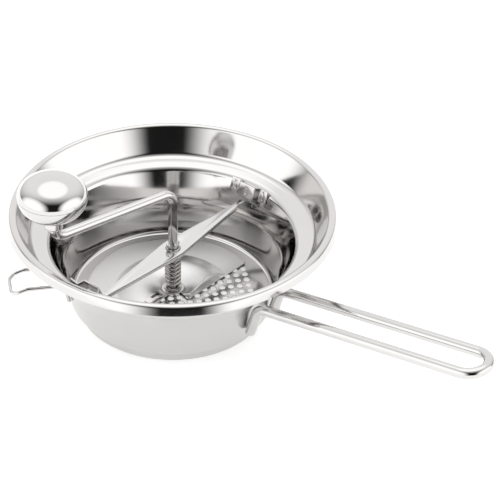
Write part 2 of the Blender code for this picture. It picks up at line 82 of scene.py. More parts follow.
# Rods and wires
HANDLE_ROD = 0.0040
HANDLE_KNEE = 0.0423
HANDLE_KNEE_ROUND = 0.0100
HANDLE_SLOPE = 8.4
HOOK_WIRE = 0.0015
HOOK_GAUGE = 0.0240
HOOK_KNEE_ROUND = 0.0050
HOOK_NOSE = 0.0110
HOOK_NOSE_DROP = 0.0040
HOOK_NOSE_ROUND = 0.0065
HOOK_REACH = 0.1217
HOOK_FOOT = 0.0190
HOOK_KNEE = 0.0335
HOOK_AZIMUTHS = {"pot_hook_rear": 132, "pot_hook_front": -132}
LEG_GAP = 0.0003
ROD = 0.0035
ROD_BEND = 0.0090
EAR_WIDTH = 0.0110
EAR_HEIGHT = 0.0040
EAR_THICKNESS = 0.0026
ARM_AZIMUTH = -107

# Disc and blade
HOLE_RADIUS = 0.00225
HOLE_PITCH = 0.0067
HOLE_MARGIN = 0.0120
HOLE_SIDES = 20
HOLE_LIP = 0.00022
GRID_AZIMUTH = 48
PILOT_HOLE = 0.0039
BLADE_SHEET = 0.0010
BLADE_TRAIL = 285
BLADE_LEAD = 84
BLADE_LEAD_OFFSET = 0.0170
BLADE_ARCH = 0.0055
BLADE_ARCH_RADIUS = 0.0420
BLADE_LIP = 0.03
SADDLE_AZIMUTH = 272
SADDLE_START = 0.0105
SADDLE_LENGTH = 0.0210
SADDLE_WIDTH = 0.0090
SADDLE_LIFT = 0.0012
SADDLE_SHEET = 0.0010
SADDLE_SLOT_LENGTH = 0.0100
SADDLE_SLOT_WIDTH = 0.0030

# Spring, bar and catches
SPRING_WIRE = 0.0010
SPRING_TURNS = 8
BAR_SHEET = 0.0012
BAR_HALF_WIDTH = 0.0094
BAR_END_HALF_WIDTH = 0.0022
BAR_FLANGE = 0.0036
BAR_TONGUE = 0.0090
BAR_AZIMUTH = 87.7
CATCH_SHEET = 0.0012
CATCH_HEIGHT = 0.0100
CATCH_STANDOFF = 0.0052
CATCH_HALF_WIDTH = 0.0077
CATCH_FOOT = 0.0080
CATCH_RAMP = 0.0020
DIMPLE = 0.0012
CATCH_AZIMUTHS = {"catch_rear": 86, "catch_front": 266}

# Knob
KNOB_SHEET = 0.0008
KNOB_NECK_HEIGHT = 0.0087

# How finely round shapes are divided
BOWL_SIDES = 192
ROD_SIDES = 32
WIRE_SIDES = 20
RING_SIDES = 64
KNOB_SIDES = 112


# ---------------------------------------------------------------- modelling


def deselect():
    """Leaves nothing selected, in object mode."""
    if bpy.context.mode != "OBJECT":
        bpy.ops.object.mode_set(mode="OBJECT")
    bpy.ops.object.select_all(action="DESELECT")


def start_piece(name):
    """Names the primitive just added and puts its place into its mesh."""
    piece = bpy.context.object
    piece.name = name
    piece.data.name = name
    bpy.ops.object.transform_apply(location=True, rotation=True, scale=True)
    bpy.ops.object.mode_set(mode="EDIT")
    bpy.ops.mesh.select_all(action="SELECT")
    return piece


def apply_modifier(piece, kind, **settings):
    """Adds a modifier with these settings and applies it."""
    bpy.context.view_layer.objects.active = piece
    modifier = piece.modifiers.new(kind.title(), kind)
    for setting, value in settings.items():
        setattr(modifier, setting, value)
    bpy.ops.object.modifier_apply(modifier=modifier.name)


def smooth(piece, angle=35):
    """Smooth shading, but for edges sharper than the angle."""
    deselect()
    piece.select_set(True)
    bpy.context.view_layer.objects.active = piece
    bpy.ops.object.shade_smooth_by_angle(angle=math.radians(angle))


def close_mesh():
    """Merges doubles, closes open ends and turns faces outward, in edit mode."""
    bpy.ops.mesh.select_all(action="SELECT")
    bpy.ops.mesh.remove_doubles(threshold=0.000005)
    bpy.ops.mesh.fill_holes(sides=0)
    bpy.ops.mesh.select_all(action="SELECT")
    bpy.ops.mesh.normals_make_consistent(inside=False)


def finish_piece(piece, body, material, nodes=()):
    """Gives a piece its material and its body, and hides the nodes that it stands for."""
    piece.data.materials.clear()
    piece.data.materials.append(material)
    if nodes:
        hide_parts(*nodes)
    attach(piece, body)
    return piece


def rounded(corners, radii, step=6):
    """The line through the corners, with each inner corner rounded to its radius."""
    line = [corners[0]]
    for before, corner, after, radius in zip(corners, corners[1:], corners[2:], radii):
        into = (corner - before).normalized()
        out = (after - corner).normalized()
        turn = into.angle(out)
        side = (out - into * into.dot(out)).normalized()
        start = corner - into * radius * math.tan(turn / 2)
        steps = max(2, round(math.degrees(turn) / step))
        for share in range(steps + 1):
            angle = turn * share / steps
            along = into * radius * math.sin(angle)
            line.append(start + along + side * radius * (1 - math.cos(angle)))
    line.append(corners[-1])
    return line


def turned(name, profile, sides, centre=AXIS):
    """A shell drawn ring by ring from a circle, along a profile of radius and height."""
    deselect()
    first = profile[0]
    place = (centre.x, centre.y, first.y)
    bpy.ops.mesh.primitive_circle_add(vertices=sides, radius=first.x, location=place)
    piece = start_piece(name)
    for before, after in zip(profile, profile[1:]):
        rise = {"value": (0, 0, after.y - before.y)}
        bpy.ops.mesh.extrude_edges_move(TRANSFORM_OT_translate=rise)
        ratio = after.x / before.x
        middle = (centre.x, centre.y, after.y)
        bpy.ops.transform.resize(value=(ratio, ratio, 1), center_override=middle)
    bpy.ops.object.mode_set(mode="OBJECT")
    return piece


def turned_solid(name, corners, edge_round, sides=RING_SIDES, centre=AXIS):
    """A turned piece with a bore, from the corners of its section, its edges rounded."""
    middles = [(a + b) / 2 for a, b in zip(corners, corners[1:] + corners[:1])]
    loop = [middles[-1]] + corners + [middles[-1]]
    profile = rounded(loop, [edge_round] * len(corners), step=30)
    piece = turned(name, profile, sides, centre)
    bpy.ops.object.mode_set(mode="EDIT")
    close_mesh()
    smooth(piece)
    return piece


def ring_section(bore, radius, bottom, top):
    """The corners of a plain ring's section."""
    corners = ((bore, bottom), (radius, bottom), (radius, top), (bore, top))
    return [Vector(corner) for corner in corners]


def bent_rod(name, corners, radii, rod, sides, end_round):
    """A round rod run along the corners and bent at each to its radius."""
    deselect()
    into = (corners[1] - corners[0]).normalized()
    facing = into.to_track_quat("Z", "Y").to_euler()
    bpy.ops.mesh.primitive_circle_add(
        vertices=sides, radius=rod, location=corners[0], rotation=facing
    )
    piece = start_piece(name)
    place = corners[0]
    for corner, after, radius in zip(corners[1:], corners[2:], radii):
        into = (corner - place).normalized()
        out = (after - corner).normalized()
        turn = into.angle(out)
        start = corner - into * radius * math.tan(turn / 2)
        side = (out - into * into.dot(out)).normalized()
        run = {"value": start - place}
        bpy.ops.mesh.extrude_edges_move(TRANSFORM_OT_translate=run)
        bpy.ops.mesh.spin(
            steps=max(3, round(math.degrees(turn) / 7)),
            angle=turn,
            center=start + side * radius,
            axis=out.cross(into).normalized(),
            use_auto_merge=False,
        )
        place = corner + out * radius * math.tan(turn / 2)
    bpy.ops.mesh.extrude_edges_move(TRANSFORM_OT_translate={"value": corners[-1] - place})
    close_mesh()
    bpy.ops.object.mode_set(mode="OBJECT")
    apply_modifier(
        piece,
        "BEVEL",
        width=end_round,
        segments=3,
        limit_method="ANGLE",
        angle_limit=math.radians(60),
    )
    smooth(piece)
    return piece


# ---------------------------------------------------------------- bowl


def bowl_line(step=5):
    """The middle of the bowl's sheet as radius and height, from the ring's foot to the skirt."""
    rim = RIM_RADIUS - SHEET / 2
    top = BOWL_HEIGHT - SHEET / 2
    flare_turn = math.atan2(top - LEDGE_HEIGHT, FLARE_SPREAD)
    flare = rim - RIM_ROLL * (1 + math.tan(flare_turn / 2)) - 0.0002
    ledge = flare - FLARE_SPREAD
    wall_top = ledge - LEDGE_WIDTH
    seat = wall_top - WALL_SPREAD
    base = seat - SEAT_WIDTH
    low, high = Vector((seat, SEAT_HEIGHT)), Vector((wall_top, LEDGE_HEIGHT - LEDGE_RISE))
    along = (high - low).normalized()
    middle = (low + high) / 2 + Vector((along.y, -along.x)) * WALL_BULGE
    corners = [
        Vector((base, 0)),
        Vector((base, SEAT_HEIGHT)),
        low,
        middle,
        high,
        Vector((ledge, LEDGE_HEIGHT)),
        Vector((flare, top)),
        Vector((rim - SKIRT_SLANT, top)),
        Vector((rim, top - SKIRT_DROP)),
    ]
    radii = [RING_ROUND, CORNER_ROUND, (high - low).length, SHOULDER_ROUND, SHOULDER_ROUND]
    radii += [RIM_EDGE_ROUND, RIM_EDGE_ROUND]
    return rounded(corners, radii, step)


BOWL_LINE = bowl_line()


def wall_at(height):
    """Radius of the middle of the wall's sheet at a height, and the wall's lean in radians."""
    for low, high in zip(BOWL_LINE, BOWL_LINE[1:]):
        if high.y > low.y and SEAT_HEIGHT < height <= high.y:
            share = (height - low.y) / (high.y - low.y)
            return low.x + (high.x - low.x) * share, math.atan2(high.x - low.x, high.y - low.y)
    raise ValueError("that height is above the bowl's wall")


def wall_face(height, side):
    """Radius of the wall's outer face (side 1) or inner face (side -1) at a height."""
    radius, lean = wall_at(height)
    return radius + side * SHEET / 2 / math.cos(lean)


def make_bowl(inside_steel, outside_steel):
    """The drawn bowl, with its rolled rim and base ring, satin on its outer wall."""
    bowl = turned("polished_bowl", BOWL_LINE, BOWL_SIDES)
    bpy.ops.object.mode_set(mode="EDIT")
    bpy.ops.mesh.select_all(action="SELECT")
    bpy.ops.mesh.normals_make_consistent(inside=False)
    bpy.ops.object.mode_set(mode="OBJECT")
    apply_modifier(bowl, "SOLIDIFY", thickness=SHEET, offset=0, use_even_offset=True)
    smooth(bowl, 50)
    finish_piece(bowl, "mill", inside_steel, ["bowl"])
    bowl.data.materials.append(outside_steel)
    for face in bowl.data.polygons:
        away = face.center - AXIS
        outward = face.normal.x * away.x + face.normal.y * away.y > 0
        if face.center.z < LEDGE_HEIGHT + 0.014 and outward:
            face.material_index = 1


# ---------------------------------------------------------------- rods on the wall


def leg_place(height, rod, half):
    """Distance from the axis, in a loop's own plane, of a leg that lies on the wall."""
    _, lean = wall_at(height)
    reach = wall_face(height, 1) + (rod + LEG_GAP) / math.cos(lean)
    return math.sqrt(reach**2 - half**2)


def loop_corners(side, half, azimuth):
    """The corners of a loop that mirrors one side, turned to its azimuth about the bowl."""
    near = [Vector((reach, -half, height)) for reach, height in side]
    far = [Vector((reach, half, height)) for reach, height in reversed(side)]
    turn = Matrix.Rotation(math.radians(azimuth), 3, "Z")
    return [turn @ corner + AXIS for corner in near + far]


def make_handle(material):
    """The handle, one bar bent to a long loop."""
    low, high = box_of("handle_loop")
    half = (high.y - low.y) / 2 - HANDLE_ROD
    foot_height = low.z + HANDLE_ROD * math.sin(wall_at(0.02)[1])
    foot = leg_place(foot_height, HANDLE_ROD, half)
    knee = leg_place(HANDLE_KNEE, HANDLE_ROD, half)
    end = high.x - AXIS.x - HANDLE_ROD
    end_height = HANDLE_KNEE + (end - knee) * math.tan(math.radians(HANDLE_SLOPE))
    side = [(foot, foot_height), (knee, HANDLE_KNEE), (end, end_height)]
    radii = [HANDLE_KNEE_ROUND, half * 0.999]
    corners = loop_corners(side, half, 0)
    handle = bent_rod(
        "polished_handle", corners, radii + radii[::-1], HANDLE_ROD, ROD_SIDES, 0.0008
    )
    finish_piece(handle, "mill", material, ["handle_loop"])


def make_hooks(material):
    """The two pot hooks, bent from wire."""
    half = HOOK_GAUGE / 2
    foot = leg_place(HOOK_FOOT, HOOK_WIRE, half)
    knee = leg_place(HOOK_KNEE, HOOK_WIRE, half)
    end = HOOK_REACH - HOOK_WIRE
    side = [
        (foot, HOOK_FOOT),
        (knee, HOOK_KNEE),
        (end - HOOK_NOSE, HOOK_KNEE),
        (end, HOOK_KNEE - HOOK_NOSE_DROP),
    ]
    radii = [HOOK_KNEE_ROUND, HOOK_NOSE_ROUND, HOOK_NOSE_ROUND]
    for node, azimuth in HOOK_AZIMUTHS.items():
        corners = loop_corners(side, half, azimuth)
        name = "wire_" + node
        hook = bent_rod(name, corners, radii + radii[::-1], HOOK_WIRE, WIRE_SIDES, 0.0004)
        finish_piece(hook, "mill", material, [node])


# ---------------------------------------------------------------- catches


def make_catches(strap_steel):
    """The two hat-shaped catches, with the dimples of their spot welds."""
    low, high = box_of("catch_rear")
    middle = (low.z + high.z) / 2
    _, lean = wall_at(middle)
    wall = wall_face(middle, -1)
    foot = wall - LEG_GAP - CATCH_SHEET / 2
    raised = wall - CATCH_STANDOFF - CATCH_SHEET / 2
    ends = [
        (foot, CATCH_HALF_WIDTH + CATCH_RAMP + CATCH_FOOT),
        (foot, CATCH_HALF_WIDTH + CATCH_RAMP + CATCH_FOOT / 2),
        (foot, CATCH_HALF_WIDTH + CATCH_RAMP),
        (raised, CATCH_HALF_WIDTH),
    ]
    plan = [(radius, -width) for radius, width in ends]
    plan += [(radius, width) for radius, width in reversed(ends)]
    line = []
    for radius, width in plan:
        angle = width / wall
        line.append(Vector((radius * math.cos(angle) - wall, radius * math.sin(angle))))
    line = rounded(line, [0.0040, 0.0012, 0.0012, 0.0012, 0.0012, 0.0040], step=15)
    for node, azimuth in CATCH_AZIMUTHS.items():
        catch = folded_strip(node + "_strap", line)
        press_dimples(catch, [foot - wall, raised - wall], wall)
        turn = Matrix.Rotation(math.radians(azimuth), 4, "Z")
        place = AXIS + (turn.to_3x3() @ Vector((wall, 0, middle)))
        catch.data.transform(Matrix.Translation(place) @ turn @ Matrix.Rotation(lean, 4, "Y"))
        finish_piece(catch, "mill", strap_steel, [node])


def press_dimples(catch, levels, wall):
    """Presses two spot welds into each foot of a catch, and two dimples into its raised face."""
    foot, raised = levels
    out = CATCH_HALF_WIDTH + CATCH_RAMP + CATCH_FOOT / 2
    spots = [(foot, side * out, rise) for side in (-1, 1) for rise in (-0.0024, 0.0024)]
    spots += [(raised, 0, rise) for rise in (-0.0022, 0.0022)]
    tools = []
    for level, width, rise in spots:
        angle = width / wall
        radius = wall + level - CATCH_SHEET / 2 - DIMPLE * 0.8
        place = (radius * math.cos(angle) - wall, radius * math.sin(angle), rise)
        deselect()
        bpy.ops.mesh.primitive_uv_sphere_add(
            segments=20, ring_count=12, radius=DIMPLE, location=place
        )
        tools.append(bpy.context.object)
        bpy.ops.object.transform_apply(location=True, rotation=True, scale=True)
    for tool in tools:
        tool.select_set(True)
    bpy.ops.object.join()
    punch = bpy.context.object
    deselect()
    apply_modifier(catch, "BOOLEAN", operation="DIFFERENCE", solver="EXACT", object=punch)
    bpy.data.objects.remove(punch)
    smooth(catch)


def folded_strip(name, line):
    """A strip of sheet that stands on edge along a flat line, its edges rounded."""
    deselect()
    bpy.ops.mesh.primitive_circle_add(vertices=3, radius=0.001)
    piece = start_piece(name)
    bpy.ops.mesh.merge(type="CENTER")
    start = Vector((line[0].x, line[0].y, -CATCH_HEIGHT / 2))
    bpy.ops.transform.translate(value=start)
    for before, after in zip(line, line[1:]):
        run = {"value": (after.x - before.x, after.y - before.y, 0)}
        bpy.ops.mesh.extrude_vertices_move(TRANSFORM_OT_translate=run)
    bpy.ops.mesh.select_all(action="SELECT")
    rise = {"value": (0, 0, CATCH_HEIGHT)}
    bpy.ops.mesh.extrude_edges_move(TRANSFORM_OT_translate=rise)
    bpy.ops.object.mode_set(mode="OBJECT")
    apply_modifier(piece, "SOLIDIFY", thickness=CATCH_SHEET, offset=0, use_even_offset=True)
    apply_modifier(
        piece,
        "BEVEL",
        width=0.0003,
        segments=2,
        limit_method="ANGLE",
        angle_limit=math.radians(60),
    )
    smooth(piece)
    return piece


# ---------------------------------------------------------------- disc


def make_disc(material):
    """The perforated disc, its holes cut by rows of punches."""
    low, high = box_of("perforated_disc")
    radius = (high.x - low.x) / 2
    middle = (low.z + high.z) / 2
    thickness = high.z - low.z
    deselect()
    place = (AXIS.x, AXIS.y, middle)
    bpy.ops.mesh.primitive_cylinder_add(
        vertices=BOWL_SIDES, radius=radius, depth=thickness, location=place
    )
    disc = start_piece("punched_disc")
    bpy.ops.object.mode_set(mode="OBJECT")
    punches = make_punches(radius - HOLE_MARGIN, middle, thickness)
    apply_modifier(disc, "BOOLEAN", operation="DIFFERENCE", solver="EXACT", object=punches)
    bpy.data.objects.remove(punches)
    smooth(disc, 30)
    finish_piece(disc, "mill", material, ["perforated_disc"])


def make_punches(limit, middle, thickness):
    """Every punch in one mesh: a waisted cylinder for each hole of a square grid."""
    deselect()
    bpy.ops.mesh.primitive_cylinder_add(
        vertices=HOLE_SIDES, radius=HOLE_RADIUS, depth=thickness - 2 * HOLE_LIP
    )
    punch = start_piece("punch")
    bpy.ops.mesh.select_mode(type="FACE")
    for side in (-1, 1):
        bpy.ops.mesh.select_all(action="DESELECT")
        bpy.ops.object.mode_set(mode="OBJECT")
        for face in punch.data.polygons:
            face.select = face.normal.z * side > 0.9
        bpy.ops.object.mode_set(mode="EDIT")
        for rise, ratio in ((HOLE_LIP, 1.14), (0.0010, 1.3)):
            move = {"value": (0, 0, side * rise)}
            bpy.ops.mesh.extrude_region_move(TRANSFORM_OT_translate=move)
            bpy.ops.transform.resize(value=(ratio, ratio, 1))
    bpy.ops.mesh.select_mode(type="VERT")
    bpy.ops.object.mode_set(mode="OBJECT")
    turn = Matrix.Rotation(math.radians(GRID_AZIMUTH), 3, "Z")
    reach = math.ceil(limit / HOLE_PITCH)
    punches = []
    for column in range(-reach, reach):
        for row in range(-reach, reach):
            centre = Vector(((column + 0.5) * HOLE_PITCH, (row + 0.5) * HOLE_PITCH, 0))
            if PILOT_HOLE + HOLE_RADIUS < centre.length < limit:
                copy = bpy.data.objects.new("punch_copy", punch.data.copy())
                copy.data.transform(Matrix.Translation(AXIS + turn @ centre + Vector((0, 0, middle))))
                bpy.context.collection.objects.link(copy)
                punches.append(copy)
    deselect()
    bpy.ops.mesh.primitive_cylinder_add(
        vertices=48, radius=PILOT_HOLE, depth=4 * thickness, location=(AXIS.x, AXIS.y, middle)
    )
    pilot = bpy.context.object
    bpy.ops.object.transform_apply(location=True, rotation=True, scale=True)
    for copy in punches:
        copy.select_set(True)
    bpy.ops.object.join()
    bpy.data.objects.remove(punch)
    return pilot


# ---------------------------------------------------------------- crank and blade


def make_crank_rod(material):
    """The shaft, arm and spindle, bent from one rod, with the swaged ears on the shaft."""
    low, high = box_of("crank_rod")
    knob_low, knob_high = box_of("knob_washer")
    knob = (knob_low + knob_high) / 2
    arm_height = knob_low.z - 0.0003 - ROD_BEND
    corners = [
        Vector((AXIS.x, AXIS.y, low.z)),
        Vector((AXIS.x, AXIS.y, arm_height)),
        Vector((knob.x, knob.y, arm_height)),
        Vector((knob.x, knob.y, high.z)),
    ]
    rod = bent_rod("polished_crank", corners, [ROD_BEND, ROD_BEND], ROD, ROD_SIDES, 0.0006)
    make_ears(material)
    finish_piece(rod, "crank", material, ["crank_rod"])


def make_ears(material):
    """The two ears swaged from the shaft, just above the bar's bush."""
    _, bush_high = box_of("bar_bush")
    low = bush_high.z + 0.0006
    middle = (AXIS.x, AXIS.y, low + EAR_HEIGHT / 2)
    deselect()
    bpy.ops.mesh.primitive_cube_add(
        size=1,
        location=middle,
        rotation=(0, 0, math.radians(ARM_AZIMUTH)),
        scale=(EAR_WIDTH, EAR_THICKNESS, EAR_HEIGHT),
    )
    ears = start_piece("swaged_ears")
    bpy.ops.mesh.bevel(offset=0.0009, segments=4, affect="EDGES")
    bpy.ops.object.mode_set(mode="OBJECT")
    smooth(ears)
    finish_piece(ears, "crank", material)


def make_spring(material):
    """The coil spring round the shaft."""
    low, high = box_of("spring")
    outer = (high.y - low.y) / 2
    coil = outer - SPRING_WIRE
    start = low.z + SPRING_WIRE
    span = high.z - low.z - 2 * SPRING_WIRE
    deselect()
    bpy.ops.mesh.primitive_circle_add(
        vertices=16,
        radius=SPRING_WIRE,
        location=(coil, 0, 0),
        rotation=(math.pi / 2, 0, 0),
    )
    spring = start_piece("coiled_spring")
    bpy.ops.object.mode_set(mode="OBJECT")
    apply_modifier(
        spring,
        "SCREW",
        angle=math.tau * SPRING_TURNS,
        screw_offset=span,
        steps=36 * SPRING_TURNS,
        render_steps=36 * SPRING_TURNS,
        use_merge_vertices=False,
    )
    spring.data.transform(Matrix.Translation((AXIS.x, AXIS.y, start)))
    bpy.ops.object.mode_set(mode="EDIT")
    close_mesh()
    smooth(spring, 50)
    finish_piece(spring, "crank", material, ["spring"])


def blade_place(radial, sweep):
    """A point in the middle of the blade's sheet, from hub to edge and from trail to lead.

    The sheet arches up round the hub and comes down to the disc in a lip along its lead.
    """
    low, high = box_of("blade")
    hub_low, hub_high = box_of("blade_hub")
    inner = (hub_high.x - hub_low.x) / 2 + 0.0003
    outer = (high.y - low.y) / 2
    radius = inner + (outer - inner) * radial
    swing = math.degrees(math.asin(min(1, BLADE_LEAD_OFFSET / radius)))
    lead = BLADE_LEAD - swing
    if sweep <= 0.9:
        share = sweep / 0.9 * (1 - BLADE_LIP)
    else:
        share = 1 - BLADE_LIP * (1 - sweep) / 0.1
    angle = math.radians(BLADE_TRAIL + (lead - BLADE_TRAIL) * share)
    across = min(1, (radius - inner) / (BLADE_ARCH_RADIUS - inner))
    fall = min(1, (1 - share) / BLADE_LIP)
    arch = (BLADE_ARCH - 0.0001) * math.sin(math.pi * across) * math.sin(math.pi / 2 * fall)
    height = low.z + BLADE_SHEET / 2 + 0.00005 + arch
    return AXIS + Vector((radius * math.cos(angle), radius * math.sin(angle), height))


def arch_height(radius):
    """How far the blade's arch has risen above its edge, at a distance from the shaft."""
    hub_low, hub_high = box_of("blade_hub")
    inner = (hub_high.x - hub_low.x) / 2 + 0.0003
    across = min(1, max(0, (radius - inner) / (BLADE_ARCH_RADIUS - inner)))
    return BLADE_ARCH * math.sin(math.pi * across)


def make_blade(material):
    """The blade: a half-round sheet, arched round its hub."""
    deselect()
    bpy.ops.mesh.primitive_grid_add(x_subdivisions=48, y_subdivisions=100, size=1)
    blade = start_piece("satin_blade")
    bpy.ops.object.mode_set(mode="OBJECT")
    for vertex in blade.data.vertices:
        vertex.co = blade_place(vertex.co.x + 0.5, vertex.co.y + 0.5)
    bpy.ops.object.mode_set(mode="EDIT")
    bpy.ops.mesh.select_all(action="SELECT")
    bpy.ops.mesh.normals_make_consistent(inside=False)
    bpy.ops.object.mode_set(mode="OBJECT")
    apply_modifier(blade, "SOLIDIFY", thickness=BLADE_SHEET, offset=0, use_even_offset=True)
    apply_modifier(
        blade,
        "BEVEL",
        width=0.0003,
        segments=2,
        limit_method="ANGLE",
        angle_limit=math.radians(60),
    )
    smooth(blade, 24)
    finish_piece(blade, "crank", material, ["blade"])


def make_saddle(material):
    """The slotted strap that stiffens the blade along its trailing side."""
    deselect()
    bpy.ops.mesh.primitive_grid_add(x_subdivisions=24, y_subdivisions=12, size=1)
    saddle = start_piece("blade_saddle")
    bpy.ops.object.mode_set(mode="OBJECT")
    aim = math.radians(SADDLE_AZIMUTH)
    along = Vector((math.cos(aim), math.sin(aim), 0))
    side = Vector((-math.sin(aim), math.cos(aim), 0))
    low, _ = box_of("blade")
    for vertex in saddle.data.vertices:
        reach = SADDLE_START + SADDLE_LENGTH * (vertex.co.x + 0.5)
        wide = SADDLE_WIDTH * vertex.co.y * (1 - 0.35 * (vertex.co.x + 0.5))
        rise = arch_height(math.hypot(reach, wide)) + BLADE_SHEET + SADDLE_LIFT
        vertex.co = AXIS + along * reach + side * wide + Vector((0, 0, low.z + rise))
    apply_modifier(saddle, "SOLIDIFY", thickness=SADDLE_SHEET, offset=0, use_even_offset=True)
    deselect()
    middle = AXIS + along * (SADDLE_START + SADDLE_LENGTH * 0.52)
    bpy.ops.mesh.primitive_cube_add(
        size=1,
        location=(middle.x, middle.y, low.z + BLADE_ARCH),
        rotation=(0, 0, aim),
        scale=(SADDLE_SLOT_LENGTH, SADDLE_SLOT_WIDTH, 0.02),
    )
    slot = bpy.context.object
    bpy.ops.object.transform_apply(location=True, rotation=True, scale=True)
    deselect()
    apply_modifier(saddle, "BOOLEAN", operation="DIFFERENCE", solver="EXACT", object=slot)
    bpy.data.objects.remove(slot)
    apply_modifier(
        saddle,
        "BEVEL",
        width=0.0002,
        segments=2,
        limit_method="ANGLE",
        angle_limit=math.radians(60),
    )
    smooth(saddle, 30)
    finish_piece(saddle, "crank", material)


def make_rings(material):
    """The hub, the washers, the bush in the bar and the knob's fittings."""
    knob_low, knob_high = box_of("knob_washer")
    knob = (knob_low + knob_high) / 2
    plain = {
        "blade_hub": ("crank", ROD + 0.0003, AXIS),
        "lower_spring_washer": ("crank", ROD + 0.0004, AXIS),
        "upper_spring_washer": ("presser", ROD + 0.0004, AXIS),
        "knob_washer": ("crank", ROD + 0.0003, knob),
        "knob_clip": ("crank", ROD + 0.0003, knob),
        "knob_bush": ("knob", ROD + 0.0004, knob),
    }
    for node, (body, bore, centre) in plain.items():
        low, high = box_of(node)
        section = ring_section(bore, (high.x - low.x) / 2, low.z, high.z)
        piece = turned_solid(node + "_turned", section, 0.0002, centre=centre)
        finish_piece(piece, body, material, [node])
    low, high = box_of("bar_bush")
    flange = (high.x - low.x) / 2
    bore = ROD + 0.0004
    sleeve = bore + 0.0012
    step = low.z + 0.0009
    corners = [
        Vector((bore, low.z)),
        Vector((flange, low.z)),
        Vector((flange, step)),
        Vector((sleeve, step)),
        Vector((sleeve, high.z)),
        Vector((bore, high.z)),
    ]
    bush = turned_solid("bar_bush_turned", corners, 0.0002)
    finish_piece(bush, "presser", material, ["bar_bush"])


# ---------------------------------------------------------------- bar


def make_bar(material):
    """The pressure bar: a tapered channel with a flat tongue at each end."""
    low, high = box_of("pressure_bar")
    reach = (high.y - low.y) / 2 / math.cos(math.radians(90 - BAR_AZIMUTH)) - 0.0004
    top = high.z
    start = reach - BAR_TONGUE
    deselect()
    bpy.ops.mesh.primitive_grid_add(x_subdivisions=4, y_subdivisions=1, size=1)
    bar = start_piece("polished_bar")
    bpy.ops.object.mode_set(mode="OBJECT")
    stations = {-0.5: -reach, -0.25: -start, 0: 0, 0.25: start, 0.5: reach}
    for vertex in bar.data.vertices:
        x = stations[round(vertex.co.x, 3)]
        half = BAR_HALF_WIDTH if x == 0 else BAR_END_HALF_WIDTH
        vertex.co = (x, math.copysign(half, vertex.co.y), top)
    bpy.ops.object.mode_set(mode="EDIT")
    bpy.ops.mesh.select_mode(type="EDGE")
    bpy.ops.mesh.select_all(action="DESELECT")
    bpy.ops.object.mode_set(mode="OBJECT")
    for edge in bar.data.edges:
        a, b = (bar.data.vertices[index].co for index in edge.vertices)
        along = abs(a.x - b.x) > 0.001
        edge.select = along and a.y * b.y > 0 and max(abs(a.x), abs(b.x)) <= start * 1.001
    bpy.ops.object.mode_set(mode="EDIT")
    drop = {"value": (0, 0, -BAR_FLANGE)}
    bpy.ops.mesh.extrude_edges_move(TRANSFORM_OT_translate=drop)
    bpy.ops.mesh.select_mode(type="VERT")
    bpy.ops.mesh.select_all(action="SELECT")
    bpy.ops.mesh.normals_make_consistent(inside=False)
    bpy.ops.object.mode_set(mode="OBJECT")
    if sum(face.normal.z for face in bar.data.polygons) < 0:
        bar.data.flip_normals()
    apply_modifier(bar, "SOLIDIFY", thickness=BAR_SHEET, offset=-1, use_even_offset=True)
    deselect()
    bpy.ops.mesh.primitive_cylinder_add(vertices=64, radius=0.0054, depth=0.02, location=(0, 0, top))
    hole = bpy.context.object
    bpy.ops.object.transform_apply(location=True, rotation=True, scale=True)
    deselect()
    bpy.context.view_layer.objects.active = bar
    apply_modifier(bar, "BOOLEAN", operation="DIFFERENCE", solver="EXACT", object=hole)
    bpy.data.objects.remove(hole)
    apply_modifier(
        bar,
        "BEVEL",
        width=0.0004,
        segments=3,
        limit_method="ANGLE",
        angle_limit=math.radians(40),
    )
    turn = Matrix.Rotation(math.radians(BAR_AZIMUTH), 4, "Z")
    bar.data.transform(Matrix.Translation(AXIS) @ turn)
    smooth(bar)
    finish_piece(bar, "bar", material, ["pressure_bar"])


# ---------------------------------------------------------------- knob


def make_knob(cap_steel, base_steel):
    """The knob's domed cap and its base with the neck."""
    low, high = box_of("knob_cap")
    knob = (low + high) / 2
    half = KNOB_SHEET / 2
    widest = (high.x - low.x) / 2 - half
    dome = high.z - low.z - half
    steps = 26
    cap = []
    for step in range(steps):
        angle = math.pi / 2 * step / steps
        cap.append(Vector((widest * math.cos(angle), low.z + dome * math.sin(angle))))
    crown = turned("polished_knob_cap", cap, KNOB_SIDES, knob)
    bpy.ops.object.mode_set(mode="EDIT")
    bpy.ops.mesh.extrude_edges_move(TRANSFORM_OT_translate={"value": (0, 0, low.z + dome - cap[-1].y)})
    bpy.ops.mesh.merge(type="CENTER")
    bpy.ops.mesh.select_all(action="SELECT")
    bpy.ops.mesh.normals_make_consistent(inside=False)
    bpy.ops.object.mode_set(mode="OBJECT")
    apply_modifier(crown, "SOLIDIFY", thickness=KNOB_SHEET, offset=0, use_even_offset=True)
    smooth(crown, 60)
    finish_piece(crown, "knob", cap_steel, ["knob_cap"])

    low, high = box_of("knob_base")
    neck_low, neck_high = box_of("knob_washer")
    neck = (neck_high.x - neck_low.x) / 2 - half
    shoulder = low.z + KNOB_NECK_HEIGHT
    base = [Vector((neck, low.z))]
    for step in range(steps + 1):
        angle = math.pi / 2 * step / steps
        reach = (widest - neck) * math.sin(angle)
        base.append(Vector((neck + reach, shoulder + (high.z - shoulder) * (1 - math.cos(angle)))))
    cup = turned("polished_knob_base", base, KNOB_SIDES, knob)
    bpy.ops.object.mode_set(mode="EDIT")
    bpy.ops.mesh.select_all(action="SELECT")
    bpy.ops.mesh.normals_make_consistent(inside=False)
    bpy.ops.object.mode_set(mode="OBJECT")
    apply_modifier(cup, "SOLIDIFY", thickness=KNOB_SHEET, offset=0, use_even_offset=True)
    smooth(cup, 60)
    finish_piece(cup, "knob", base_steel, ["knob_base"])


# ---------------------------------------------------------------- steels


